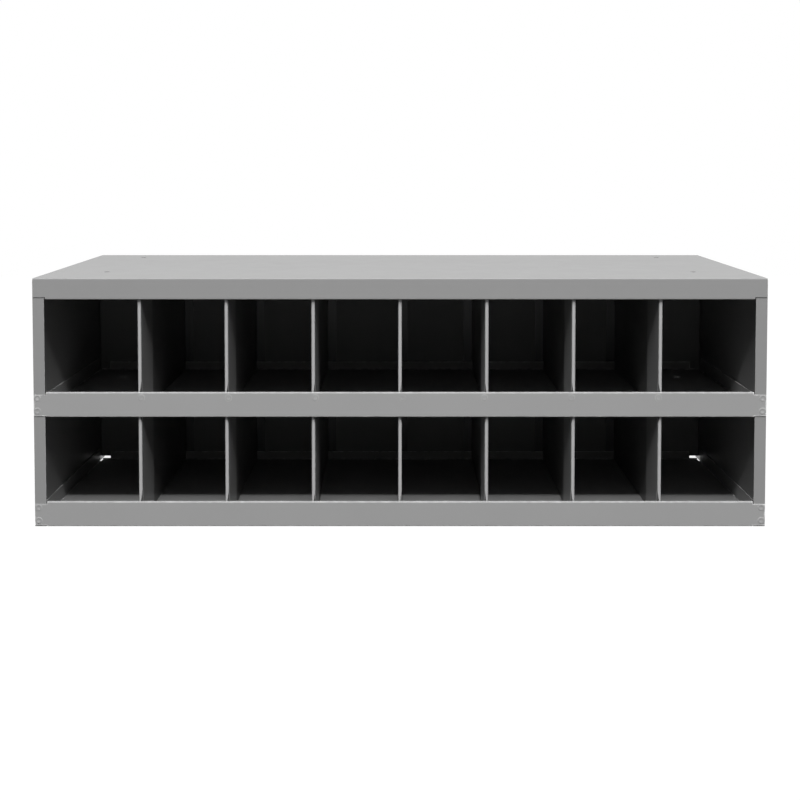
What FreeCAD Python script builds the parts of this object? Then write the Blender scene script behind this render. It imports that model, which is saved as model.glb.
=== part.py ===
import FreeCAD, Part

import math
import os
import re

import Sketcher

# A steel pigeonhole bin unit: a welded sheet-steel cabinet with two rows of open bins.
# The origin is under the middle of the cabinet, the bins open to -Y, and +Z is up.

DIVIDERS_PER_ROW = 7

# Driving sizes in millimetres, each with what it measures.
SIZES = (
    ("width", 857.25, "cabinet, over the side panels"),
    ("depth", 304.8, "cabinet, front of the lips to the rear flanges"),
    ("height", 292.1, "cabinet, base to top"),
    ("panel", 0.9, "thickness of the casing sheets"),
    ("bend", 0.4, "inside radius of the casing folds"),
    ("seam", 0.3, "clearance where one sheet passes another"),
    ("front_flange", 13.7, "front flange of a side panel"),
    ("rear_flange", 13.0, "rear flange of a side panel"),
    ("top_flange", 13.0, "top flange of a side panel"),
    ("top_lip", 24.9, "front lip of the top panel"),
    ("middle_lip", 29.1, "front lip of the middle shelf"),
    ("bottom_lip", 29.3, "front lip of the bottom shelf"),
    ("lip_return", 3.0, "inward return along the edge of each lip"),
    ("lip_inset", 0.9, "from the side of the cabinet to the end of a lip"),
    ("lip_notch", 1.4, "from a side panel's front flange to the end of that return"),
    ("end_trim", 2.9, "how much lower a lip is where it laps a side panel"),
    ("middle_level", 129.3, "underside of the middle shelf above the base"),
    ("top_drop", 13.0, "rear flange of the top panel"),
    ("shelf_side", 18.5, "side flanges of a shelf"),
    ("shelf_rear", 12.0, "rear flange of a shelf"),
    ("shelf_stub", 2.4, "low end of that flange beside the side panel"),
    ("corner_slot", 2.6, "slot between the stub and the side panel"),
    ("corner_relief", 10.0, "from the end of a shelf's side flange to the back"),
    ("back_inset", 19.0, "from the rear of the cabinet to the face of the back"),
    ("back_notch", 5.6, "height of the open lower corners at the rear"),
    ("end_bin", 123.825, "side of the cabinet to the nearest divider"),
    ("divider_sheet", 0.8, "thickness of a divider"),
    ("divider_flange", 12.7, "rear flange of a divider"),
    ("divider_bend", 0.8, "inside radius of a divider's folds"),
    ("hem_width", 4.3, "open hem along the front of a divider"),
    ("hem_flat", 0.5, "flat on the front of the hem"),
    ("hem_length", 60.0, "how far the hem is folded back"),
    ("hem_gap", 1.0, "from a lip's return to the hem"),
    ("hem_end_width", 2.5, "hem where it is trimmed at its ends"),
    ("hem_low_trim", 14.0, "length of the slanting trim above a lip"),
    ("hem_high_trim", 10.0, "length of the slanting trim under a sheet"),
    ("trim_depth", 3.5, "how far back the slanting trims reach"),
    ("foot_width", 10.0, "tab of a divider that is welded to the lip"),
    ("foot_gap", 3.0, "from the shelf up to that tab"),
    ("hole_radius", 3.5, "bolt holes in the top and the base"),
    ("hole_side", 68.6, "bolt hole to the side of the cabinet"),
    ("hole_front", 72.5, "front bolt hole to the front of the cabinet"),
    ("hole_rear", 37.8, "rear bolt hole to the rear of the cabinet"),
    ("weld_ball", 28.0, "radius of the round hollow of a spot weld"),
    ("weld_depth", 0.2, "depth of that hollow"),
    ("weld_drop", 6.4, "divider weld below the top of the lip"),
    ("weld_side", 5.0, "end weld to the side of the cabinet"),
    ("weld_edge", 7.0, "end weld to the edge of the lip"),
)

doc = FreeCAD.newDocument("pigeonhole_bin_unit")
sheet = doc.addObject("Spreadsheet::Sheet", "sizes")
for row, (alias, size, meaning) in enumerate(SIZES, start=1):
    sheet.set(f"A{row}", meaning)
    sheet.set(f"B{row}", str(size))
    sheet.setAlias(f"B{row}", alias)
doc.recompute()

# Places that several pieces share, written with the names of the sizes.
FRONT = "(-depth / 2)"
REAR = "(depth / 2)"
BACK = "(depth / 2 - back_inset)"
SIDE = "(width / 2)"
INSIDE = "(width / 2 - panel)"
LIP_END = "(width / 2 - lip_inset)"
RETURN_END = "(width / 2 - front_flange - lip_notch)"
CLEAR = "(width / 2 - front_flange - seam)"
OUTER_BEND = "(panel + bend)"
UNDER_TOP = "(height - panel)"
MIDDLE_TOP = "(middle_level + middle_lip)"
LIP_BACK = f"({FRONT} + panel)"
FLANGE_FRONT = f"({FRONT} + 2 * panel + bend + seam)"
FLANGE_REAR = f"({REAR} - panel - bend - seam)"


def bound(text):
    """Return an expression with every size in it pointing at the sheet."""
    return re.sub(r"[a-z][a-z_]*", lambda found: "sizes." + found.group(0), text)


def number(text):
    """Return the value of an expression of sizes."""
    return float(sheet.evalExpression(bound(text)))


def new_body(label):
    """Add an empty body under the name of its piece."""
    body = doc.addObject("PartDesign::Body", label)
    body.Label = label
    return body


def new_sketch(body, name, plane, low, high):
    """Add a sketch on a plane of the body, placed for a pad that runs from low to high."""
    sketch = body.newObject("Sketcher::SketchObject", name)
    planes = [item for item in body.Origin.OriginFeatures if item.Role == plane]
    sketch.AttachmentSupport = [(planes[0], "")]
    sketch.MapMode = "FlatFace"
    level = f"-({high})" if plane == "XZ_Plane" else low
    sketch.setExpression("AttachmentOffset.Base.z", bound(level))
    return sketch


def drive(sketch, constraint, text):
    """Add a dimension to a sketch and bind it to an expression of sizes."""
    index = sketch.addConstraint(Sketcher.Constraint(*constraint, number(text)))
    sketch.setExpression(f"Constraints[{index}]", bound(text))


def pad(body, sketch, low, high):
    """Pad a sketch over the length from low to high."""
    feature = body.newObject("PartDesign::Pad", sketch.Name + "_pad")
    feature.Profile = sketch
    feature.setExpression("Length", bound(f"({high}) - ({low})"))


def bent_sheet(body, name, plane, corners, low, high, gauge="panel", radius="bend"):
    """Pad a folded sheet from low to high.

    The corners are where the outer faces would meet if the folds were sharp,
    and every fold turns the same way by a right angle.
    """
    sketch = new_sketch(body, name, plane, low, high)
    points = [FreeCAD.Vector(number(u), number(v), 0) for u, v in corners]
    last = len(points) - 2
    headings = [(points[k + 1] - points[k]).normalize() for k in range(last + 1)]
    turn = headings[0].cross(headings[1]).z
    inward = [FreeCAD.Vector(-turn * way.y, turn * way.x, 0) for way in headings]
    inner_radius = number(radius)
    outer_radius = inner_radius + number(gauge)
    entry, leaving = (1, 2) if turn > 0 else (2, 1)

    def add_face(depth):
        """Draw the lines and arcs of one face of the sheet and join them."""
        lines = []
        for k in range(last + 1):
            start = points[k] + inward[k] * depth
            end = points[k + 1] + inward[k] * depth
            if k > 0:
                start = start + headings[k] * outer_radius
            if k < last:
                end = end - headings[k] * outer_radius
            lines.append(sketch.addGeometry(Part.LineSegment(start, end)))
            level = "Horizontal" if abs(headings[k].x) > 0.5 else "Vertical"
            sketch.addConstraint(Sketcher.Constraint(level, lines[k]))
        arcs = []
        for k in range(last):
            centre = points[k + 1] - headings[k] * outer_radius + inward[k] * outer_radius
            angles = [math.atan2(-inward[k].y, -inward[k].x)]
            angles.append(angles[0] + turn * math.pi / 2)
            circle = Part.Circle(centre, FreeCAD.Vector(0, 0, 1), outer_radius - depth)
            arc = Part.ArcOfCircle(circle, min(angles), max(angles))
            arcs.append(sketch.addGeometry(arc))
            sketch.addConstraint(Sketcher.Constraint("Tangent", lines[k], 2, arcs[k], entry))
            sketch.addConstraint(Sketcher.Constraint("Tangent", arcs[k], leaving, lines[k + 1], 1))
        return lines, arcs

    outer_lines, outer_arcs = add_face(0.0)
    inner_lines, inner_arcs = add_face(number(gauge))
    for k in range(last):
        centres = Sketcher.Constraint("Coincident", outer_arcs[k], 3, inner_arcs[k], 3)
        sketch.addConstraint(centres)
        drive(sketch, ("Radius", inner_arcs[k]), radius)

    caps = []
    for leg, end in ((0, 1), (last, 2)):
        ends = [sketch.getPoint(lines[leg], end) for lines in (outer_lines, inner_lines)]
        cap = sketch.addGeometry(Part.LineSegment(*ends))
        sketch.addConstraint(Sketcher.Constraint("Coincident", cap, 1, outer_lines[leg], end))
        sketch.addConstraint(Sketcher.Constraint("Coincident", cap, 2, inner_lines[leg], end))
        level = "Vertical" if abs(headings[leg].x) > 0.5 else "Horizontal"
        sketch.addConstraint(Sketcher.Constraint(level, cap))
        caps.append(cap)
    drive(sketch, ("Distance", caps[0]), gauge)

    for k in range(last + 1):
        along_u = abs(headings[k].x) > 0.5
        kind = "DistanceY" if along_u else "DistanceX"
        drive(sketch, (kind, -1, 1, outer_lines[k], 1), corners[k][1] if along_u else corners[k][0])
    for leg, end, (u, v) in ((0, 1, corners[0]), (last, 2, corners[-1])):
        along_u = abs(headings[leg].x) > 0.5
        kind = "DistanceX" if along_u else "DistanceY"
        drive(sketch, (kind, -1, 1, outer_lines[leg], end), u if along_u else v)
    pad(body, sketch, low, high)


def block(body, kind, name, x, y, z):
    """Add or cut a square block between two places on each axis."""
    feature = body.newObject("PartDesign::" + kind, name)
    edges = (("Length", "x", x), ("Width", "y", y), ("Height", "z", z))
    for edge, axis, (low, high) in edges:
        feature.setExpression(edge, bound(f"({high}) - ({low})"))
        feature.setExpression(f"Placement.Base.{axis}", bound(low))


def both_sides(body, kind, name, x, y, z):
    """Add or cut a block at the right end of the cabinet and its mirror image at the left."""
    low, high = x
    block(body, kind, name + "_right", (low, high), y, z)
    block(body, kind, name + "_left", (f"-({high})", f"-({low})"), y, z)


def bolt_holes(body, level):
    """Cut the four bolt holes down through a sheet whose upper face is at a level."""
    sketch = new_sketch(body, body.Label + "_holes", "XY_Plane", level, level)
    across = f"{SIDE} - hole_side"
    places = [(f"{sign} * ({across})", y) for sign in ("-1", "1")
              for y in (f"{FRONT} + hole_front", f"{REAR} - hole_rear")]
    for x, y in places:
        centre = FreeCAD.Vector(number(x), number(y), 0)
        circle = Part.Circle(centre, FreeCAD.Vector(0, 0, 1), number("hole_radius"))
        hole = sketch.addGeometry(circle)
        drive(sketch, ("DistanceX", -1, 1, hole, 3), x)
        drive(sketch, ("DistanceY", -1, 1, hole, 3), y)
        drive(sketch, ("Radius", hole), "hole_radius")
    feature = body.newObject("PartDesign::Pocket", body.Label + "_bolt_holes")
    feature.Profile = sketch
    feature.Type = "ThroughAll"


def weld_hollow(body, name, x, z):
    """Press the shallow round hollow of a spot weld into the front of a lip."""
    feature = body.newObject("PartDesign::SubtractiveSphere", name)
    feature.setExpression("Radius", bound("weld_ball"))
    feature.setExpression("Placement.Base.x", bound(x))
    feature.setExpression("Placement.Base.y", bound(f"{FRONT} + weld_depth - weld_ball"))
    feature.setExpression("Placement.Base.z", bound(z))


def end_welds(body, low, high):
    """Press two spot welds into each end of a lip that stands between two levels."""
    for sign, side in (("-1", "left"), ("1", "right")):
        x = f"{sign} * ({SIDE} - weld_side)"
        weld_hollow(body, f"{body.Label}_{side}_low_weld", x, f"{low} + weld_edge")
        weld_hollow(body, f"{body.Label}_{side}_high_weld", x, f"{high} - weld_edge")


def side_panel(label, sign):
    """Build a side wall with a front flange, a rear flange and a top flange under the top panel."""
    body = new_body(label)
    wall = f"{sign} * {SIDE}"
    front_edge = f"{sign} * ({SIDE} - front_flange)"
    rear_edge = f"{sign} * ({SIDE} - rear_flange)"
    shoulder = f"({UNDER_TOP} - {OUTER_BEND} - seam)"
    corners = ((front_edge, LIP_BACK), (wall, LIP_BACK), (wall, FLANGE_REAR))
    bent_sheet(body, label + "_wall", "XY_Plane", corners, "0", shoulder)
    corners = ((wall, f"{FLANGE_REAR} - panel"), (wall, REAR), (rear_edge, REAR))
    bent_sheet(body, label + "_rear", "XY_Plane", corners, "back_notch", shoulder)
    top_edge = f"{sign} * ({SIDE} - top_flange)"
    corners = ((wall, f"{shoulder} - panel"), (wall, UNDER_TOP), (top_edge, UNDER_TOP))
    bent_sheet(body, label + "_top", "XZ_Plane", corners, FLANGE_FRONT, FLANGE_REAR)
    return body


def top_panel():
    """Build the top sheet with its front lip, rear flange and bolt holes."""
    body = new_body("top_panel")
    lip_edge = "(height - top_lip)"
    corners = (
        (f"{FRONT} + lip_return", lip_edge),
        (FRONT, lip_edge),
        (FRONT, "height"),
        (REAR, "height"),
        (REAR, "height - top_drop"),
    )
    bent_sheet(body, "top_section", "YZ_Plane", corners, f"-{LIP_END}", LIP_END)
    ends = (RETURN_END, SIDE)
    lip_depth = (f"{FRONT} - seam", f"{FRONT} + lip_return + seam")
    lip_cut = (f"{lip_edge} - seam", f"{lip_edge} + end_trim")
    both_sides(body, "SubtractiveBox", "top_lip_end", ends, lip_depth, lip_cut)
    ends = (CLEAR, SIDE)
    flange_depth = (f"{REAR} - {OUTER_BEND}", f"{REAR} + seam")
    flange_cut = ("height - top_drop - seam", f"height - {OUTER_BEND}")
    both_sides(body, "SubtractiveBox", "top_rear_end", ends, flange_depth, flange_cut)
    bolt_holes(body, "height")
    return body


def shelf(label, level, lip):
    """Build a shelf as a tray with a lipped front, side flanges and a rear flange."""
    body = new_body(label)
    lip_edge = f"({level} + {lip})"
    corners = (
        (f"{FRONT} + lip_return", lip_edge),
        (FRONT, lip_edge),
        (FRONT, level),
        (BACK, level),
        (BACK, f"{level} + shelf_rear"),
    )
    bent_sheet(body, label + "_section", "YZ_Plane", corners, f"-{RETURN_END}", RETURN_END)
    tray_rear = f"({BACK} - corner_relief)"
    corners = (
        (f"-{INSIDE}", f"{level} + shelf_side"),
        (f"-{INSIDE}", level),
        (INSIDE, level),
        (INSIDE, f"{level} + shelf_side"),
    )
    bent_sheet(body, label + "_sides", "XZ_Plane", corners, FLANGE_FRONT, tray_rear)
    corners = ((f"{tray_rear} - panel", level), (BACK, level), (BACK, f"{level} + shelf_stub"))
    stub = f"({INSIDE} - corner_slot)"
    bent_sheet(body, label + "_corners", "YZ_Plane", corners, f"-{stub}", stub)
    ends = (f"-{LIP_END}", LIP_END)
    tab = (f"{level} + {OUTER_BEND}", f"{lip_edge} - end_trim")
    block(body, "AdditiveBox", label + "_lip_ends", ends, (FRONT, LIP_BACK), tab)
    end_welds(body, level, lip_edge)
    return body


def back_panel():
    """Build the set-in back with flanges to the rear and open lower corners."""
    body = new_body("back_panel")
    corners = (
        (FLANGE_REAR, "0"),
        (BACK, "0"),
        (BACK, UNDER_TOP),
        (FLANGE_REAR, UNDER_TOP),
    )
    bent_sheet(body, "back_section", "YZ_Plane", corners, f"-{CLEAR}", CLEAR)
    corners = (
        (f"-{INSIDE}", FLANGE_REAR),
        (f"-{INSIDE}", BACK),
        (INSIDE, BACK),
        (INSIDE, FLANGE_REAR),
    )
    shoulder = f"{UNDER_TOP} - {OUTER_BEND} - seam"
    bent_sheet(body, "back_sides", "XY_Plane", corners, "back_notch", shoulder)
    return body


def trim_hem(body, name, side, low_width, low, high_width, high):
    """Cut a slanting end on the folded side of a hem, between two levels."""
    front = f"({FRONT} + lip_return + hem_gap)"
    reach = (f"{front} - seam", f"{front} + trim_depth")
    sketch = new_sketch(body, name, "XZ_Plane", *reach)
    beside = f"{side} * hem_width"
    corners = (
        (f"{side} * ({low_width} - hem_width / 2)", low),
        (f"{side} * ({high_width} - hem_width / 2)", high),
        (beside, high),
        (beside, low),
    )
    points = [FreeCAD.Vector(number(u), number(v), 0) for u, v in corners]
    for k in range(len(points)):
        sketch.addGeometry(Part.LineSegment(points[k - 1], points[k]))
    for k in range(len(points)):
        following = (k + 1) % len(points)
        sketch.addConstraint(Sketcher.Constraint("Coincident", k, 2, following, 1))
        drive(sketch, ("DistanceX", -1, 1, k, 2), corners[k][0])
        drive(sketch, ("DistanceY", -1, 1, k, 2), corners[k][1])
    feature = body.newObject("PartDesign::Pocket", name + "_cut")
    feature.Profile = sketch
    feature.Reversed = True
    feature.setExpression("Length", bound(f"({reach[1]}) - ({reach[0]})"))


def divider(label, index, floor, ceiling, lip_edge, hem_trims):
    """Build an upright divider with a hemmed front, a rear flange and a welded foot."""
    body = new_body(label)
    front = f"({FRONT} + lip_return + hem_gap)"
    side = fold_side(index)
    web = f"({side} * (-hem_width / 2))"
    fold = f"({side} * (hem_width / 2))"
    hem_bend = "(hem_width / 2 - hem_flat / 2 - divider_sheet)"
    shoulder = f"({floor} + shelf_rear - panel + seam)"
    hem = ((fold, f"{front} + hem_length"), (fold, front), (web, front))
    flange_step = f"({front} + hem_length)"

    low_end = f"({BACK} - {OUTER_BEND} - seam)"
    corners = hem + ((web, low_end),)
    bent_sheet(body, label + "_web", "XY_Plane", corners, floor, ceiling, "divider_sheet", hem_bend)
    corners = ((web, flange_step), (web, BACK), (f"{web} + {side} * divider_flange", BACK))
    bent_sheet(body, label + "_rear", "XY_Plane", corners, shoulder, ceiling,
               "divider_sheet", "divider_bend")
    corners = ((f"{web} + {side} * foot_width", LIP_BACK), (web, LIP_BACK), (web, flange_step))
    foot_top = f"{lip_edge} - {OUTER_BEND} - seam"
    bent_sheet(body, label + "_foot", "XY_Plane", corners, f"{floor} + foot_gap", foot_top,
               "divider_sheet", "divider_bend")
    for name, low_width, low, high_width, high in hem_trims:
        trim_hem(body, f"{label}_{name}", side, low_width, low, high_width, high)
    body.setExpression("Placement.Base.x", bound(divider_place(index)))
    return body


def fold_side(index):
    """Return which way a divider folds: to the right up to the middle one, then to the left."""
    return "1" if index <= DIVIDERS_PER_ROW // 2 else "-1"


def divider_place(index):
    """Return where a divider stands across the cabinet, counted from the left."""
    steps = DIVIDERS_PER_ROW - 1
    return f"({index / steps - 0.5} * (width - 2 * end_bin))"


def lower_divider(index):
    """Build a divider of the lower row, trimmed above the lip and under the middle shelf."""
    trims = (
        ("low_trim", "hem_end_width", "panel", "hem_end_width", "bottom_lip"),
        ("low_slant", "hem_end_width", "bottom_lip", "hem_width", "bottom_lip + hem_low_trim"),
        ("high_slant", "hem_width", "middle_level - hem_high_trim", "hem_end_width", "middle_level"),
    )
    return divider(f"lower_divider_{index + 1}", index, "panel", "middle_level", "bottom_lip", trims)


def upper_divider(index):
    """Build a divider of the upper row, trimmed above the lip and under the top panel."""
    floor = "(middle_level + panel)"
    trims = (
        ("low_trim", "hem_end_width", floor, "hem_end_width", MIDDLE_TOP),
        ("low_slant", "hem_end_width", MIDDLE_TOP, "hem_width", f"{MIDDLE_TOP} + hem_low_trim"),
        ("high_slant", "hem_width", f"{UNDER_TOP} - hem_high_trim", "hem_end_width", UNDER_TOP),
    )
    return divider(f"upper_divider_{index + 1}", index, floor, UNDER_TOP, MIDDLE_TOP, trims)


def middle_shelf():
    """Build the middle shelf with the spot welds that hold the feet of the upper dividers."""
    body = shelf("middle_shelf", "middle_level", "middle_lip")
    for index in range(DIVIDERS_PER_ROW):
        x = f"{divider_place(index)} + {fold_side(index)} * (foot_width - hem_width) / 2"
        weld_hollow(body, f"middle_divider_weld_{index + 1}", x, f"{MIDDLE_TOP} - weld_drop")
    return body


def bottom_shelf():
    """Build the bottom shelf with the bolt holes of the base."""
    body = shelf("bottom_shelf", "0", "bottom_lip")
    bolt_holes(body, "panel")
    return body


def write_pieces(pieces):
    """Check every object of the document and write each piece to its own file."""
    doc.recompute()
    for item in doc.Objects:
        if "Invalid" in item.State or "Error" in item.State:
            raise RuntimeError(f"{item.Name} could not be built: {item.State}")
    os.makedirs("parts", exist_ok=True)
    for piece in pieces:
        shape = piece.Shape
        if shape.isNull() or not shape.isValid() or len(shape.Solids) != 1:
            raise RuntimeError(f"{piece.Label} is not one sound solid")
        shape.exportStep(f"parts/{piece.Label}.step")
        print(f"{piece.Label}: {shape.Volume:.1f} mm3")


rows = range(DIVIDERS_PER_ROW)
cabinet = [
    side_panel("left_side_panel", "-1"),
    side_panel("right_side_panel", "1"),
    top_panel(),
    middle_shelf(),
    bottom_shelf(),
    back_panel(),
]
write_pieces(cabinet + [upper_divider(k) for k in rows] + [lower_divider(k) for k in rows])
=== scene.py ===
import logging
import math
from dataclasses import dataclass, replace
from enum import Enum

import bmesh
import bpy
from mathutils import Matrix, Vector


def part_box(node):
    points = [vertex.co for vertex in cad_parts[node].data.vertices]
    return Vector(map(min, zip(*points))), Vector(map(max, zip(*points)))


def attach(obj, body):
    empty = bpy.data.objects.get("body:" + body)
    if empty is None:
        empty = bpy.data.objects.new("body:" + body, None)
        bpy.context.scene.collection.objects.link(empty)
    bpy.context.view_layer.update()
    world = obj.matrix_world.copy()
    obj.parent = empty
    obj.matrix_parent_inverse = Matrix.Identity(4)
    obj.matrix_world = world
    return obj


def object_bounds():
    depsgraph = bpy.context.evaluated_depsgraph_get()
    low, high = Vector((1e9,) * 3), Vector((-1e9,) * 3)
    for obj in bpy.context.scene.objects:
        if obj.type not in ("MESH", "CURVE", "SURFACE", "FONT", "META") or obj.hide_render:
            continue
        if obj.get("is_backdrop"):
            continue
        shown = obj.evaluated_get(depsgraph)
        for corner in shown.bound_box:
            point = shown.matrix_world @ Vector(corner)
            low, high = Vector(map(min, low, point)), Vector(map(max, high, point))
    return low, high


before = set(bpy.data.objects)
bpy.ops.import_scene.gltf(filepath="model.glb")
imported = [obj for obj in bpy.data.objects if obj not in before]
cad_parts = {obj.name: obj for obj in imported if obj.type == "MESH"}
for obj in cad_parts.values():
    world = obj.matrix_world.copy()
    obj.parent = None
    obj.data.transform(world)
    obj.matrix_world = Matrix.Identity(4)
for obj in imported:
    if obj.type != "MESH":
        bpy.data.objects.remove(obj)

log = logging.getLogger("bin_unit")

Grey = tuple[float, float, float, float]
Place = tuple[float, float, float]
Material = bpy.types.Material
Node = bpy.types.Node
Socket = bpy.types.NodeSocket
Feed = float | Grey | Socket
Span = tuple[Feed, Feed]

MM = 0.001
RIGHT_ANGLE = 90.0
UNIT: Span = (0.0, 1.0)

# Places along y that lie beyond the cabinet, for effects that a finish leaves out
AHEAD_OF_ALL = -1.0
BEHIND_ALL = 1.0


def grey(level: float) -> Grey:
    """Return a neutral grey of a linear level."""
    return (level, level, level, 1.0)


class Facing(Enum):
    """The way a sheet's outer face looks, as its normal."""

    FRONT = (0.0, -1.0, 0.0)
    REAR = (0.0, 1.0, 0.0)
    LEFT = (-1.0, 0.0, 0.0)
    RIGHT = (1.0, 0.0, 0.0)


class Row(Enum):
    """The two rows of bins, by the name that their dividers carry."""

    UPPER = "upper"
    LOWER = "lower"


class Kind(Enum):
    """The kinds of socket that a node group has."""

    COLOUR = "NodeSocketColor"
    VALUE = "NodeSocketFloat"


class Ease(Enum):
    """The ways to get from one end of a range to the other."""

    STEADY = "LINEAR"
    SMOOTH = "SMOOTHSTEP"


@dataclass(frozen=True)
class Grain:
    """The grain of a noise texture.

    Attributes:
        scale: How fine the texture is.
        detail: How many finer layers it carries.
        roughness: How strong those layers are.
        distortion: How far they are bent.
    """

    scale: float
    detail: float
    roughness: float = 0.5
    distortion: float = 0.0


class NodeGraph:
    """A node tree that is being wired, with short calls for its nodes and links."""

    # Sockets of a colour Mix node, whose names are not unique
    MIX_FACTOR = 0
    MIX_FIRST = 6
    MIX_SECOND = 7
    MIX_RESULT = 2

    def __init__(self, tree: bpy.types.NodeTree) -> None:
        """Take over a node tree."""
        self.tree = tree

    def add(self, kind: str, **settings: object) -> Node:
        """Add a node.

        Args:
            kind: The node's type, without the ShaderNode prefix.
            settings: Properties of the node to set.

        Returns:
            The new node.
        """
        node = self.tree.nodes.new("ShaderNode" + kind)
        for name, value in settings.items():
            setattr(node, name, value)
        return node

    def plug(self, value: Feed, socket: Socket) -> None:
        """Link another node's output to an input, or set the input to a plain value.

        Args:
            value: The output or the plain value.
            socket: The input.
        """
        if isinstance(value, Socket):
            self.tree.links.new(value, socket)
        else:
            socket.default_value = value

    def feed(self, node: Node, **inputs: Feed) -> Node:
        """Set or link a node's inputs, where an underscore in a name stands for a space.

        Args:
            node: The node whose inputs are fed.
            inputs: For each input either a value or another node's output.

        Returns:
            The same node.
        """
        for name, value in inputs.items():
            self.plug(value, node.inputs[name.replace("_", " ")])
        return node

    def group(self, tree: bpy.types.NodeTree, **inputs: Feed) -> bpy.types.NodeOutputs:
        """Place a node group.

        Args:
            tree: The group.
            inputs: For each input either a value or another node's output.

        Returns:
            The group's outputs.
        """
        return self.feed(self.add("Group", node_tree=tree), **inputs).outputs

    def place(self) -> Socket:
        """Return the place on the piece, in the piece's own frame."""
        return self.add("TexCoord").outputs["Object"]

    def axis(self, vector: Socket, name: str) -> Socket:
        """Take one coordinate out of a vector.

        Args:
            vector: The vector.
            name: The coordinate's name, such as X.

        Returns:
            The coordinate.
        """
        parts = self.add("SeparateXYZ")
        self.plug(vector, parts.inputs[0])
        return parts.outputs[name]

    def math(self, operation: str, first: Feed, second: Feed = 0.0) -> Socket:
        """Work out an operation.

        Args:
            operation: The name of the operation.
            first: Its first value or output.
            second: Its second one, if it takes two.

        Returns:
            The outcome.
        """
        node = self.add("Math", operation=operation)
        for value, socket in zip((first, second), node.inputs):
            self.plug(value, socket)
        return node.outputs[0]

    def remap(self, value: Socket, span: Span, onto: Span = UNIT, ease: Ease = Ease.STEADY) -> Socket:
        """Carry a value from one range to another, without going past its ends.

        Args:
            value: The value.
            span: The ends of its own range.
            onto: The ends of the range that it is carried to.
            ease: How it goes from one end to the other.

        Returns:
            The carried value.
        """
        node = self.add("MapRange", interpolation_type=ease.value)
        self.feed(node, Value=value, From_Min=span[0], From_Max=span[1], To_Min=onto[0], To_Max=onto[1])
        return node.outputs["Result"]

    def noise(self, place: Socket, grain: Grain, scale: Socket | None = None) -> Socket:
        """Look up a noise texture.

        Args:
            place: Where it is looked up.
            grain: The texture's grain.
            scale: An output that takes the place of the grain's own scale.

        Returns:
            The noise, from 0 to 1.
        """
        node = self.add("TexNoise")
        self.feed(node, Vector=place, Scale=grain.scale if scale is None else scale, Detail=grain.detail,
                  Roughness=grain.roughness, Distortion=grain.distortion)
        return node.outputs["Fac"]

    def scaled(self, colour: Socket, share: Socket) -> Socket:
        """Make a colour brighter or darker.

        Args:
            colour: The colour.
            share: The share to multiply it by.

        Returns:
            The new colour.
        """
        node = self.add("VectorMath", operation="SCALE")
        self.plug(colour, node.inputs[0])
        self.plug(share, node.inputs["Scale"])
        return node.outputs[0]

    def blend(self, factor: Socket, first: Feed, second: Feed) -> Socket:
        """Mix two colours.

        Args:
            factor: The share of the second colour.
            first: The first colour.
            second: The second colour.

        Returns:
            The mixed colour.
        """
        node = self.add("Mix", data_type="RGBA")
        self.plug(factor, node.inputs[self.MIX_FACTOR])
        self.plug(first, node.inputs[self.MIX_FIRST])
        self.plug(second, node.inputs[self.MIX_SECOND])
        return node.outputs[self.MIX_RESULT]

    def end_with(self, kind: str, factor: Socket, first: Node, second: Node) -> None:
        """Mix two shaders and make the mix the tree's surface.

        Args:
            kind: The type of the tree's output node.
            factor: The share of the second shader.
            first: The first shader.
            second: The second shader.
        """
        both = self.add("MixShader")
        for value, socket in zip((factor, first.outputs[0], second.outputs[0]), both.inputs):
            self.plug(value, socket)
        self.feed(self.add(kind), Surface=both.outputs[0])


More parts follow.
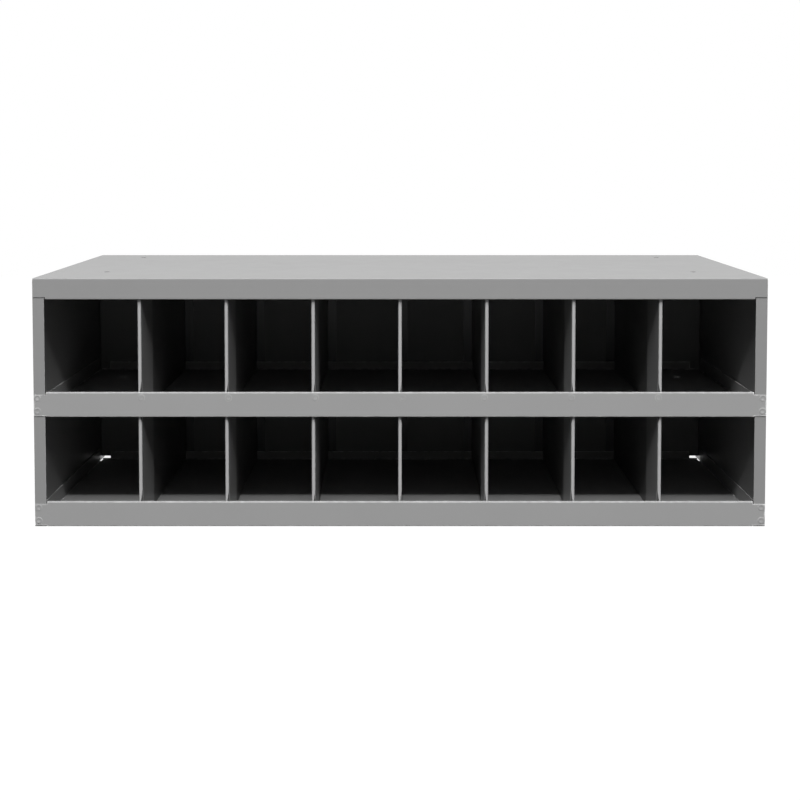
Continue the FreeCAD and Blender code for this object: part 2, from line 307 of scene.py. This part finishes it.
class PaintEffects:
    """The shared effects of painted sheet steel, each a node group that is built once."""

    CLOUDS = Grain(7.0, 4.0, roughness=0.55)
    SPECKS = Grain(1500.0, 2.0)
    SPECK_TONES = (0.97, 1.03)
    SMUDGES = Grain(23.0, 5.0, distortion=0.6)
    PEEL = Grain(900.0, 1.5)
    RIPPLE = Grain(9.0, 1.0)
    # How far a rounded normal has turned from the true one, as a cosine: on a flat face and at an edge
    EDGE_TURN = (1.0, 0.75)
    EDGE_SAMPLES = 4
    BREAKUP = Grain(120.0, 3.0)
    BREAKUP_SPAN = (0.35, 0.65)
    # How far a face looks up, as a cosine: where dust starts to lie and where it lies best
    UPWARD_SPAN = (0.6, 1.0)
    DRIFT = Grain(34.0, 6.0, roughness=0.65)
    DRIFT_SPAN = (0.4, 0.7)
    # How unevenly the painted front light is spread
    FRONT_LIGHT_GRAIN = Grain(60.0, 4.0)
    FRONT_LIGHT_SHARES = (0.7, 1.1)

    def __init__(self) -> None:
        """Build every group."""
        self.powder_coat = self._powder_coat()
        self.sheet_ripple = self._sheet_ripple()
        self.edge_wear_and_light = self._edge_wear_and_light()
        self.settled_dust = self._settled_dust()
        self.painted_front_light = self._painted_front_light()
        self.painted_deep_shade = self._painted_deep_shade()

    @staticmethod
    def _new_group(
        name: str, inputs: dict[str, Kind], outputs: dict[str, Kind]
    ) -> tuple[NodeGraph, bpy.types.NodeOutputs, Node]:
        """Start a node group.

        Args:
            name: The group's name.
            inputs: The kind of each input.
            outputs: The kind of each output.

        Returns:
            The graph to wire, what comes in, and the node that takes what goes out.
        """
        tree = bpy.data.node_groups.new(name, "ShaderNodeTree")
        for way, sockets in (("INPUT", inputs), ("OUTPUT", outputs)):
            for label, kind in sockets.items():
                tree.interface.new_socket(name=label, in_out=way, socket_type=kind.value)
        entry = tree.nodes.new("NodeGroupInput").outputs
        leaving = tree.nodes.new("NodeGroupOutput")
        return NodeGraph(tree), entry, leaving

    def _powder_coat(self) -> bpy.types.NodeTree:
        """Build the coat itself: clouded tone, uneven gloss and the orange-peel surface.

        Returns:
            The group, which puts out Colour, Roughness and Height.
        """
        inputs = {
            "Paint": Kind.COLOUR,
            "Cloud": Kind.VALUE,
            "Gloss Low": Kind.VALUE,
            "Gloss High": Kind.VALUE,
            "Peel Scale": Kind.VALUE,
        }
        outputs = {"Colour": Kind.COLOUR, "Roughness": Kind.VALUE, "Height": Kind.VALUE}
        graph, entry, leaving = self._new_group("powder_coat", inputs, outputs)
        place = graph.place()
        less = graph.math("SUBTRACT", 1.0, entry["Cloud"])
        more = graph.math("ADD", 1.0, entry["Cloud"])
        cloud = graph.remap(graph.noise(place, self.CLOUDS), UNIT, (less, more))
        speck = graph.remap(graph.noise(place, self.SPECKS), UNIT, self.SPECK_TONES)
        colour = graph.scaled(entry["Paint"], graph.math("MULTIPLY", cloud, speck))
        smudges = graph.noise(place, self.SMUDGES)
        gloss = graph.remap(smudges, UNIT, (entry["Gloss Low"], entry["Gloss High"]))
        peel = graph.noise(place, self.PEEL, entry["Peel Scale"])
        graph.feed(leaving, Colour=colour, Roughness=gloss, Height=peel)
        return graph.tree

    def _sheet_ripple(self) -> bpy.types.NodeTree:
        """Build the slow waviness of light-gauge sheet.

        Returns:
            The group, which puts out Height.
        """
        graph, entry, leaving = self._new_group(
            "sheet_ripple", {"Waves": Kind.VALUE}, {"Height": Kind.VALUE}
        )
        graph.feed(leaving, Height=graph.noise(graph.place(), self.RIPPLE, entry["Waves"]))
        return graph.tree

    def _edge_wear_and_light(self) -> bpy.types.NodeTree:
        """Build the mask of edges, whose tone is partly edge wear and partly painted highlight and painted
        shade.

        Returns:
            The group, which puts out Mask.
        """
        graph, entry, leaving = self._new_group(
            "edge_wear_and_light", {"Radius": Kind.VALUE}, {"Mask": Kind.VALUE}
        )
        rounded = graph.feed(graph.add("Bevel", samples=self.EDGE_SAMPLES), Radius=entry["Radius"])
        facing = graph.add("VectorMath", operation="DOT_PRODUCT")
        graph.plug(rounded.outputs[0], facing.inputs[0])
        graph.plug(graph.add("NewGeometry").outputs["Normal"], facing.inputs[1])
        edge = graph.remap(facing.outputs["Value"], self.EDGE_TURN)
        broken = graph.remap(graph.noise(graph.place(), self.BREAKUP), self.BREAKUP_SPAN)
        graph.feed(leaving, Mask=graph.math("MULTIPLY", edge, broken))
        return graph.tree

    def _settled_dust(self) -> bpy.types.NodeTree:
        """Build the mask of thin dust on faces that look up.

        Returns:
            The group, which puts out Mask.
        """
        graph, entry, leaving = self._new_group(
            "settled_dust", {"Amount": Kind.VALUE}, {"Mask": Kind.VALUE}
        )
        rise = graph.axis(graph.add("NewGeometry").outputs["Normal"], "Z")
        upward = graph.remap(rise, self.UPWARD_SPAN)
        patchy = graph.remap(graph.noise(graph.place(), self.DRIFT), self.DRIFT_SPAN)
        mask = graph.math("MULTIPLY", upward, patchy)
        graph.feed(leaving, Mask=graph.math("MULTIPLY", mask, entry["Amount"]))
        return graph.tree

    def _painted_front_light(self) -> bpy.types.NodeTree:
        """Build the mask of a sheet's foremost part, whose own tone is painted light on the hems and on the
        top's lip.

        Returns:
            The group, which puts out Mask.
        """
        graph, entry, leaving = self._new_group(
            "painted_front_light", {"Edge": Kind.VALUE, "Reach": Kind.VALUE}, {"Mask": Kind.VALUE}
        )
        place = graph.place()
        inner = graph.math("ADD", entry["Edge"], entry["Reach"])
        near = graph.remap(graph.axis(place, "Y"), (inner, entry["Edge"]))
        uneven = graph.remap(graph.noise(place, self.FRONT_LIGHT_GRAIN), UNIT, self.FRONT_LIGHT_SHARES)
        mask = graph.math("MINIMUM", graph.math("MULTIPLY", near, uneven), 1.0)
        graph.feed(leaving, Mask=mask)
        return graph.tree

    def _painted_deep_shade(self) -> bpy.types.NodeTree:
        """Build the mask of what lies deep in the bins, which is darkened there as painted shade.

        Returns:
            The group, which puts out Mask.
        """
        graph, entry, leaving = self._new_group(
            "painted_deep_shade", {"Start": Kind.VALUE, "Reach": Kind.VALUE}, {"Mask": Kind.VALUE}
        )
        end = graph.math("ADD", entry["Start"], entry["Reach"])
        graph.feed(leaving, Mask=graph.remap(graph.axis(graph.place(), "Y"), (entry["Start"], end)))
        return graph.tree


@dataclass(frozen=True)
class PaintedSheet:
    """A powder-coated sheet-steel finish, with tones as linear greys and lengths in metres.

    Attributes:
        name: The material's name.
        paint: Tone of the coat.
        cloud: How much that tone drifts up and down.
        gloss_low: Roughness where the coat is smoothest.
        gloss_high: Roughness where it is dullest.
        ior: Index of refraction of the coat.
        sheen: Level of its mirror-like share.
        peel_scale: How fine the orange peel is.
        peel_lift: How high it stands.
        waves: How fine the waves of the sheet are.
        wave_lift: How high they stand.
        edge_tone: Tone of the edges, edge wear with a painted highlight where it is much lighter and
            painted shade where it is darker.
        edge_radius: How far that tone reaches from an edge.
        dust: How much dust lies on faces that look up.
        dust_tone: Tone of the dust.
        front_edge: Where the sheet's painted front light starts, along y.
        front_reach: How far back it reaches.
        front_tone: Tone of that front, which is painted light.
        deep_shade_start: Where the painted shade deep in the bins starts, along y.
        deep_shade_reach: How long a way that takes.
        deep_shade_share: The share of the tone that is left there.
    """

    name: str
    paint: float
    cloud: float = 0.05
    gloss_low: float = 0.3
    gloss_high: float = 0.4
    ior: float = 1.5
    sheen: float = 0.5
    peel_scale: float = PaintEffects.PEEL.scale
    peel_lift: float = 0.012 * MM
    waves: float = PaintEffects.RIPPLE.scale
    wave_lift: float = 0.25 * MM
    edge_tone: float = 0.42
    edge_radius: float = 0.8 * MM
    dust: float = 0.1
    dust_tone: float = 0.42
    front_edge: float = AHEAD_OF_ALL
    front_reach: float = 3.0 * MM
    front_tone: float = 0.4
    deep_shade_start: float = BEHIND_ALL
    deep_shade_reach: float = 15.0 * MM
    deep_shade_share: float = 0.5

    def on_welds(self, name: str) -> "PaintedSheet":
        """Take this coat over to the weld marks on the sheet.

        Args:
            name: The name of the weld marks' material.

        Returns:
            The same coat with the usual edges, and without waves and dust.
        """
        return replace(self, name=name, wave_lift=0.0, dust=0.0, edge_tone=PaintedSheet.edge_tone,
                       edge_radius=PaintedSheet.edge_radius)

    def material(self, effects: PaintEffects) -> Material:
        """Build the finish as a material.

        Args:
            effects: The shared paint effects.

        Returns:
            The material.
        """
        made = bpy.data.materials.new(self.name)
        made.use_nodes = True
        made.diffuse_color = grey(self.paint)
        graph = NodeGraph(made.node_tree)
        coat = graph.group(effects.powder_coat, Paint=grey(self.paint), Cloud=self.cloud,
                           Gloss_Low=self.gloss_low, Gloss_High=self.gloss_high,
                           Peel_Scale=self.peel_scale)
        ripple = graph.group(effects.sheet_ripple, Waves=self.waves)
        front = graph.group(effects.painted_front_light, Edge=self.front_edge, Reach=self.front_reach)
        edges = graph.group(effects.edge_wear_and_light, Radius=self.edge_radius)
        dust = graph.group(effects.settled_dust, Amount=self.dust)
        deep_shade = graph.group(effects.painted_deep_shade, Start=self.deep_shade_start, Reach=self.deep_shade_reach)

        # The colour darkens deep in the bins as painted shade, then takes the front and edge tones, painted
        # light and shade besides edge wear, and the dust tone.
        colour = graph.scaled(coat["Colour"], graph.remap(deep_shade["Mask"], UNIT, (1.0, self.deep_shade_share)))
        layers = ((front, self.front_tone), (edges, self.edge_tone), (dust, self.dust_tone))
        for layer, tone in layers:
            colour = graph.blend(layer["Mask"], colour, grey(tone))
        roughness = graph.math("ADD", coat["Roughness"], dust["Mask"])
        slow = graph.feed(graph.add("Bump"), Height=ripple["Height"], Distance=self.wave_lift)
        fine = graph.feed(graph.add("Bump"), Height=coat["Height"], Distance=self.peel_lift,
                          Normal=slow.outputs["Normal"])
        graph.feed(made.node_tree.nodes["Principled BSDF"], Base_Color=colour, Roughness=roughness,
                   IOR=self.ior, Specular_IOR_Level=self.sheen, Normal=fine.outputs["Normal"])
        return made


@dataclass(frozen=True)
class WeldMark:
    """The small crater that a spot welder leaves on a sheet, in metres.

    Attributes:
        crest: Radius of the crater's crest.
        outer: Radius at which its rim meets the sheet.
        lift: How high the crest stands.
        sunk: How deep the rim's foot lies in the sheet.
        pit: How high the middle stands.
        segments: Number of corners around the crater.
        inside: From the middle out, shares of the crest's radius and of the rise from the pit.
        outside: From the crest out, shares of the way to the outer radius and of the lift.
    """

    crest: float = 2.9 * MM
    outer: float = 4.4 * MM
    lift: float = 0.36 * MM
    sunk: float = 0.04 * MM
    pit: float = 0.02 * MM
    segments: int = 28
    inside: tuple[tuple[float, float], ...] = ((0.12, 0.0), (0.4, 0.08), (0.65, 0.4), (0.85, 0.85))
    outside: tuple[tuple[float, float], ...] = ((0.0, 1.0), (0.4, 0.75), (0.75, 0.25))

    def profile(self) -> list[tuple[float, float]]:
        """Work out the crater's section.

        Returns:
            Radius and lift of each ring, from the middle out.
        """
        rise = self.lift - self.pit
        rings = []
        for way, height in self.inside:
            rings.append((way * self.crest, self.pit + height * rise))
        for way, height in self.outside:
            rings.append(((1 - way) * self.crest + way * self.outer, height * self.lift))
        rings.append((self.outer, -self.sunk))
        return rings

    def _crater(self, mesh: bmesh.types.BMesh, centre: Vector, normal: Vector) -> bmesh.types.BMFace:
        """Add one closed crater to a mesh.

        Args:
            mesh: The mesh.
            centre: Where the weld is, on the face of the sheet.
            normal: The way that face looks.

        Returns:
            The crater's flat underside.
        """
        across = normal.orthogonal().normalized()
        along = normal.cross(across)
        rings = []
        for radius, lift in self.profile():
            ring = []
            for step in range(self.segments):
                angle = 2 * math.pi * step / self.segments
                spoke = across * math.cos(angle) + along * math.sin(angle)
                ring.append(mesh.verts.new(centre + spoke * radius + normal * lift))
            rings.append(ring)
        mesh.faces.new(rings[0])
        for near, far in zip(rings, rings[1:]):
            for step in range(self.segments):
                following = (step + 1) % self.segments
                mesh.faces.new((near[step], far[step], far[following], near[following]))
        return mesh.faces.new(rings[-1])

    def build(self, name: str, centres: list[Vector], facing: Facing, material: Material) -> None:
        """Build the craters of one sheet's welds as one piece, which rides on the cabinet.

        Args:
            name: The piece's name.
            centres: Where the welds are, on the face of the sheet.
            facing: The way that face looks.
            material: The finish of the craters.
        """
        mesh = bmesh.new()
        undersides = [self._crater(mesh, centre, Vector(facing.value)) for centre in centres]
        bmesh.ops.recalc_face_normals(mesh, faces=mesh.faces[:])
        for face in mesh.faces:
            face.smooth = True
        for face in undersides:
            face.smooth = False
            for edge in face.edges:
                edge.smooth = False
        data = bpy.data.meshes.new(name)
        mesh.to_mesh(data)
        mesh.free()
        data.materials.append(material)
        piece = bpy.data.objects.new(name, data)
        bpy.context.scene.collection.objects.link(piece)
        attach(piece, "root")
        log.info("built %s with %d welds", name, len(centres))


def dress(node: str, material: Material) -> None:
    """Give a packed sheet its finish.

    Args:
        node: The sheet's name.
        material: The finish.
    """
    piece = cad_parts[node]
    piece.data.materials.clear()
    piece.data.materials.append(material)
    log.info("dressed %s in %s", node, material.name)


@dataclass
class Casing:
    """The side panels, the top and the set-in back, in metres.

    Attributes:
        sheet: Thickness of the sheets.
        weld_rows: Number of welds along a shelf's side flange.
        weld_margin: From the ends of a sheet to its outermost welds.
        weld_height: From the base of a shelf up to the welds of its side flanges.
        flange_reach: From the outer face of a divider to the welds of its rear flange.
        mark: The mark of a weld.
    """

    sheet: float = 0.9 * MM
    weld_rows: int = 3
    weld_margin: float = 45 * MM
    weld_height: float = 8 * MM
    flange_reach: float = 6.35 * MM
    mark: WeldMark = WeldMark()

    def lip_front(self) -> float:
        """Return how far forward the top's lip stands."""
        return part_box("top_panel")[0].y

    def dress(self, wall: Material, top: Material, back: Material) -> None:
        """Give the casing its finishes.

        Args:
            wall: The finish of the sides.
            top: The finish of the top.
            back: The finish of the back, deep in the bins.
        """
        for node in ("left_side_panel", "right_side_panel"):
            dress(node, wall)
        dress("top_panel", top)
        dress("back_panel", back)

    def weld_sides(self, material: Material) -> None:
        """Build the weld marks that hold the shelves' side flanges to the side panels.

        Args:
            material: The finish of the marks.
        """
        for side, facing in (("left", Facing.LEFT), ("right", Facing.RIGHT)):
            low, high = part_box(f"{side}_side_panel")
            face = low.x if facing is Facing.LEFT else high.x
            centres = []
            for shelf in ("bottom_shelf", "middle_shelf"):
                shelf_low, shelf_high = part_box(shelf)
                first = shelf_low.y + self.weld_margin
                last = shelf_high.y - self.weld_margin
                for step in range(self.weld_rows):
                    y = first + (last - first) * step / (self.weld_rows - 1)
                    centres.append(Vector((face, y, shelf_low.z + self.weld_height)))
            self.mark.build(f"{side}_weld_marks", centres, facing, material)

    def weld_back(self, dividers: "Dividers", material: Material) -> None:
        """Build the weld marks that hold the dividers' rear flanges to the back.

        Args:
            dividers: The dividers, whose flanges give the places.
            material: The finish of the marks.
        """
        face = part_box("back_panel")[0].y + self.sheet
        centres = []
        for row in Row:
            for node in dividers.nodes(row):
                low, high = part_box(node)
                x = dividers.beside_web(node, self.flange_reach)
                for z in (low.z + self.weld_margin, high.z - self.weld_margin):
                    centres.append(Vector((x, face, z)))
        self.mark.build("back_weld_marks", centres, Facing.REAR, material)


@dataclass
class Shelves:
    """The middle and bottom shelves with their front lips, in metres.

    Attributes:
        foot_reach: From the outer face of a divider to the weld of its foot.
        weld_drop: From the top of the lip down to that weld.
        end_weld_side: From the side of the cabinet to the welds at a lip's end.
        end_weld_edge: From the lip's edges to those welds.
        mark: The mark of a weld at a lip's end.
        foot_mark: The shallower mark of a foot's weld.
    """

    foot_reach: float = 5 * MM
    weld_drop: float = 6.4 * MM
    end_weld_side: float = 5 * MM
    end_weld_edge: float = 7 * MM
    mark: WeldMark = WeldMark()
    foot_mark: WeldMark = WeldMark(lift=0.16 * MM)

    def dress(self, material: Material) -> None:
        """Give both shelves their finish.

        Args:
            material: The finish.
        """
        for node in ("middle_shelf", "bottom_shelf"):
            dress(node, material)

    def weld_lips(self, material: Material) -> None:
        """Build the rims of the weld dimples at the ends of the lips.

        Args:
            material: The finish of the rims.
        """
        left_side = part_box("left_side_panel")[0].x
        right_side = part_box("right_side_panel")[1].x
        for node in ("middle_shelf", "bottom_shelf"):
            low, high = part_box(node)
            centres = []
            for x in (left_side + self.end_weld_side, right_side - self.end_weld_side):
                for z in (low.z + self.end_weld_edge, high.z - self.end_weld_edge):
                    centres.append(Vector((x, low.y, z)))
            self.mark.build(f"{node}_weld_rims", centres, Facing.FRONT, material)

    def weld_feet(self, dividers: "Dividers", material: Material) -> None:
        """Build the shallow rims of the weld dimples that hold the dividers' feet.

        Args:
            dividers: The dividers, whose feet are welded to the middle lip.
            material: The finish of the rims.
        """
        low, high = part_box("middle_shelf")
        centres = []
        for divider in dividers.nodes(Row.UPPER):
            x = dividers.beside_web(divider, self.foot_reach)
            centres.append(Vector((x, low.y, high.z - self.weld_drop)))
        self.foot_mark.build("foot_weld_rims", centres, Facing.FRONT, material)


@dataclass
class Dividers:
    """The upright dividers of both rows, in metres.

    Attributes:
        per_row: Number of dividers in a row.
        hem_setback: From the front of a shelf's lip to the hems.
        leg: How far the hems are folded back.
    """

    per_row: int = 7
    hem_setback: float = 4.0 * MM
    leg: float = 60.0 * MM

    def nodes(self, row: Row) -> list[str]:
        """Return the names of one row's dividers, from left to right."""
        return [f"{row.value}_divider_{index + 1}" for index in range(self.per_row)]

    def beside_web(self, node: str, reach: float) -> float:
        """Find a place on a divider's flange or foot.

        Both turn to the right on the dividers up to the middle one, and to the left on the rest.

        Args:
            node: The divider's name.
            reach: How far the place is from the outer face of the upright sheet.

        Returns:
            Where the place is across the cabinet.
        """
        low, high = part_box(node)
        number = int(node.rsplit("_", 1)[1])
        return low.x + reach if number <= self.per_row // 2 + 1 else high.x - reach

    def hem_front(self) -> float:
        """Return how far forward the hems stand."""
        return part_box("middle_shelf")[0].y + self.hem_setback

    def hem_end(self) -> float:
        """Return where the folded-back hems end."""
        return self.hem_front() + self.leg

    def dress(self, material: Material) -> None:
        """Give every divider its finish.

        Args:
            material: The finish.
        """
        for row in Row:
            for node in self.nodes(row):
                dress(node, material)


@dataclass
class Studio:
    """The floor, the lights and the camera, in metres, watts and degrees.

    Attributes:
        floor_size: Length of the floor's sides.
        floor_drop: How far the floor lies under the cabinet.
        floor_seen: Tone of the floor to the eye.
        floor_bounce: Its tone for the light that it throws back.
        floor_glow: Share of its look that is a white glow.
        shade_inset: How far under the cabinet that glow reaches.
        sky_front: Strength of the surroundings low in front.
        sky_rear: Their strength low at the rear.
        sky_high: Their strength above.
        sky_turn: Where the front ends and the rear begins, along the y of a direction.
        sky_rise: Where the low part ends and the upper one is full, along its z.
        key_place: Where the right one of the two side lamps hangs.
        key_size: Length of the side lamps' sides.
        key_watts: Their power.
        centre_place: Where the lamp above the viewer hangs.
        centre_size: Length of its sides.
        centre_watts: Its power.
        front_place: Where the large soft box hangs.
        front_size: Length of its sides.
        front_watts: Its power.
        sensor: Width of the camera's sensor, in millimetres.
        lens: Focal length of its lens, in millimetres.
        shift: Upward shift of the lens, as a share of the picture.
        eye_back: How far in front of the cabinet's middle the camera stands.
        eye_height: How high it stands.
        eye_tilt: How far it looks down.
    """

    floor_size: float = 5.0
    floor_drop: float = 0.3 * MM
    floor_seen: float = 0.95
    floor_bounce: float = 0.08
    floor_glow: float = 0.93
    shade_inset: float = 20 * MM
    sky_front: float = 0.015
    sky_rear: float = 1.6
    sky_high: float = 0.62
    sky_turn: tuple[float, float] = (-0.1, 0.5)
    sky_rise: tuple[float, float] = (0.28, 0.85)
    key_place: Place = (2.9, -2.87, 3.11)
    key_size: float = 0.14
    key_watts: float = 16.0
    centre_place: Place = (0.0, -2.87, 3.11)
    centre_size: float = 0.14
    centre_watts: float = 69.0
    front_place: Place = (0.0, -4.12, 7.0)
    front_size: float = 3.2
    front_watts: float = 640.0
    sensor: float = 36.0
    lens: float = 49.573
    shift: float = -0.25
    eye_back: float = 1.429
    eye_height: float = 0.4335
    eye_tilt: float = 2.251

    @staticmethod
    def _seen_rays(graph: NodeGraph) -> Socket:
        """Tell the rays that show a thing from those that only carry light.

        Args:
            graph: The material's or the world's graph.

        Returns:
            1 for rays from the camera, mirror-like faces or glass, and 0 for the rest.
        """
        path = graph.add("LightPath").outputs
        seen = graph.math("MAXIMUM", path["Is Camera Ray"], path["Is Glossy Ray"])
        return graph.math("MAXIMUM", seen, path["Is Transmission Ray"])

    def lay_floor(self, reach: Vector) -> None:
        """Lay the pale floor, which looks white and keeps the cabinet's shadow.

        Args:
            reach: How far the cabinet reaches from the middle of the floor.
        """
        half = self.floor_size / 2
        corners = [(-half, -half), (half, -half), (half, half), (-half, half)]
        data = bpy.data.meshes.new("floor")
        data.from_pydata([(x, y, -self.floor_drop) for x, y in corners], [], [(0, 1, 2, 3)])
        floor = bpy.data.objects.new("floor", data)
        bpy.context.scene.collection.objects.link(floor)
        floor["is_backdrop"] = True

        made = bpy.data.materials.new("floor_white")
        made.use_nodes = True
        made.node_tree.nodes.clear()
        graph = NodeGraph(made.node_tree)
        seen = self._seen_rays(graph)
        tone = graph.blend(seen, grey(self.floor_bounce), grey(self.floor_seen))
        matt = graph.feed(graph.add("BsdfDiffuse"), Color=tone)
        glow = graph.feed(graph.add("Emission"), Color=grey(1.0), Strength=1.0)
        place = graph.place()
        outside: Feed = 0.0
        for axis, limit in (("X", reach.x), ("Y", reach.y)):
            away = graph.math("ABSOLUTE", graph.axis(place, axis))
            past = graph.math("GREATER_THAN", away, limit - self.shade_inset)
            outside = graph.math("MAXIMUM", past, outside)
        share = graph.math("MULTIPLY", graph.math("MULTIPLY", seen, self.floor_glow), outside)
        graph.end_with("OutputMaterial", share, matt, glow)
        data.materials.append(made)

    def fill_world(self) -> None:
        """Make the surroundings white to the eye, and elsewhere a soft light from above and behind."""
        world = bpy.data.worlds.new("studio_white")
        bpy.context.scene.world = world
        world.use_nodes = True
        world.node_tree.nodes.clear()
        graph = NodeGraph(world.node_tree)
        way = graph.add("TexCoord").outputs["Generated"]
        low = graph.remap(graph.axis(way, "Y"), self.sky_turn, (self.sky_front, self.sky_rear), Ease.SMOOTH)
        dome = graph.remap(graph.axis(way, "Z"), self.sky_rise, (low, self.sky_high), Ease.SMOOTH)
        soft = graph.feed(graph.add("Background"), Color=grey(1.0), Strength=dome)
        white = graph.feed(graph.add("Background"), Color=grey(1.0), Strength=1.0)
        graph.end_with("OutputWorld", self._seen_rays(graph), soft, white)

    @staticmethod
    def _soft_box(name: str, place: Vector, aim: Vector, size: float, watts: float) -> None:
        """Hang a square soft box.

        Args:
            name: The lamp's name.
            place: Where it hangs.
            aim: The point that it looks at.
            size: The length of its sides.
            watts: Its power.
        """
        lamp = bpy.data.lights.new(name, "AREA")
        lamp.size = size
        lamp.energy = watts
        box = bpy.data.objects.new(name, lamp)
        box.location = place
        box.rotation_mode = "QUATERNION"
        box.rotation_quaternion = (aim - place).to_track_quat("-Z", "Y")
        bpy.context.scene.collection.objects.link(box)

    def hang_lights(self, middle: Vector) -> None:
        """Hang a soft box high in front of the cabinet, and small lamps above and beside the viewer.

        Args:
            middle: The middle of the cabinet.
        """
        self._soft_box("front_box", Vector(self.front_place), middle, self.front_size, self.front_watts)
        self._soft_box("centre_key", Vector(self.centre_place), middle, self.centre_size, self.centre_watts)
        for side, name in ((-1, "left_key"), (1, "right_key")):
            place = Vector(self.key_place)
            place.x *= side
            self._soft_box(name, place, middle, self.key_size, self.key_watts)

    def place_camera(self) -> None:
        """Stand the camera where the photograph was taken from."""
        data = bpy.data.cameras.new("camera")
        data.lens = self.lens
        data.sensor_width = self.sensor
        data.shift_y = self.shift
        camera = bpy.data.objects.new("camera", data)
        camera.location = (0.0, -self.eye_back, self.eye_height)
        camera.rotation_euler = (math.radians(RIGHT_ANGLE - self.eye_tilt), 0.0, 0.0)
        bpy.context.scene.collection.objects.link(camera)
        bpy.context.scene.camera = camera


def main() -> None:
    """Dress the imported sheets, add their weld marks and set up the studio."""
    logging.basicConfig(level=logging.INFO, format="%(message)s")
    packed_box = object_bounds()
    effects = PaintEffects()
    casing = Casing()
    shelves = Shelves()
    dividers = Dividers()
    # The one grey coat takes a different tone on each part, as painted light and shade: lightest on the
    # shelves, darker on the sides, and darkest on the top, back and dividers.
    wall = PaintedSheet("casing_paint", paint=0.22)
    # The top's front lip is lighter than its face, painted light, and its edges a little lighter still, a
    # faint painted highlight.
    top = PaintedSheet("top_paint", paint=0.206, cloud=0.03, gloss_low=0.5, gloss_high=0.62, edge_tone=0.26,
                       dust=0.06, front_edge=casing.lip_front(), front_tone=0.235)
    # The shelves' edges are much lighter, a painted highlight along the lips' top edges and bends.
    shelf = PaintedSheet("shelf_paint", paint=0.285, gloss_low=0.44, gloss_high=0.54, sheen=0.4,
                         edge_tone=0.9, edge_radius=2.0 * MM)
    back = PaintedSheet("back_paint", paint=0.2, gloss_low=0.5, gloss_high=0.62, sheen=0.36)
    # The dividers' hem fronts are lighter, a painted highlight; their webs behind the hems are darker,
    # painted shade; and their edges are darker too, painted shade.
    upright = PaintedSheet("divider_paint", paint=0.2, sheen=0.38, waves=12.0, edge_tone=0.12,
                           front_edge=dividers.hem_front(), front_tone=0.39,
                           deep_shade_start=dividers.hem_end())

    casing.dress(wall.material(effects), top.material(effects), back.material(effects))
    shelves.dress(shelf.material(effects))
    dividers.dress(upright.material(effects))
    lip_weld = shelf.on_welds("lip_weld_paint").material(effects)
    casing.weld_sides(wall.on_welds("wall_weld_paint").material(effects))
    casing.weld_back(dividers, back.on_welds("back_weld_paint").material(effects))
    shelves.weld_lips(lip_weld)
    shelves.weld_feet(dividers, lip_weld)

    studio = Studio()
    studio.lay_floor(packed_box[1])
    studio.fill_world()
    studio.hang_lights((packed_box[0] + packed_box[1]) / 2)
    studio.place_camera()
    bpy.context.scene.view_settings.view_transform = "Standard"


if __name__ == "__main__":
    main()
